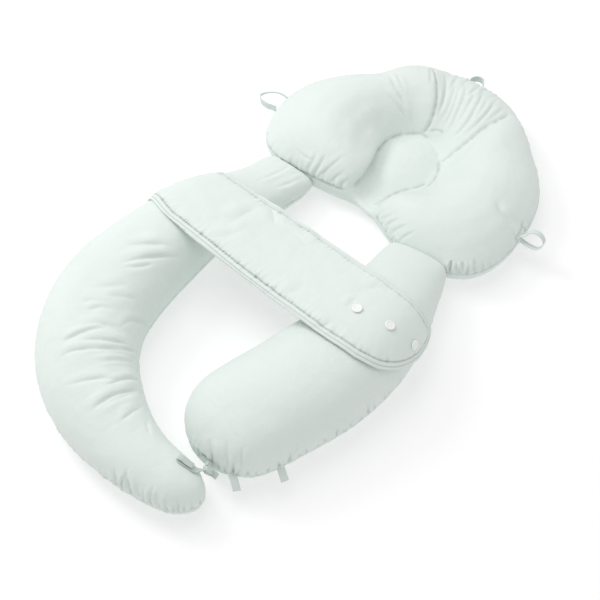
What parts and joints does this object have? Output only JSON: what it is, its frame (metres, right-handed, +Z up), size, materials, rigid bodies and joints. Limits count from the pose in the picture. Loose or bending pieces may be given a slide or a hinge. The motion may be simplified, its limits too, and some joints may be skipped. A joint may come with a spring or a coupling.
{
  "type": "baby soothing pillow",
  "caption": "Stuffed baby pillow: a head cushion with a round hollow, long curved arms either side of the child, and a belly belt that snaps across.",
  "frame": {"origin": "bottom centre of the bounding box, on the surface the pillow lies on", "axes": "+Y towards the head cushion, +Z up, +X towards the right arm, over which the belt closes"},
  "size_m": [0.5192, 0.8124, 0.1248],
  "materials": {
    "mint_cotton": "soft matt cotton, plain weave",
    "mint_tape": "matt woven cotton tape",
    "white_plastic": "satin moulded plastic"
  },
  "bodies": {
    "root": {"head_cushion": "mint_cotton", "left_arm": "mint_cotton", "right_arm": "mint_cotton", "belly_belt": "mint_cotton", "snap_1": "white_plastic", "snap_2": "white_plastic", "snap_3": "white_plastic", "loop_left": "mint_tape", "loop_right": "mint_tape", "loop_top": "mint_tape", "tab_1": "mint_tape", "tab_2": "mint_tape", "tie": "mint_tape"}
  },
  "joints": []
}
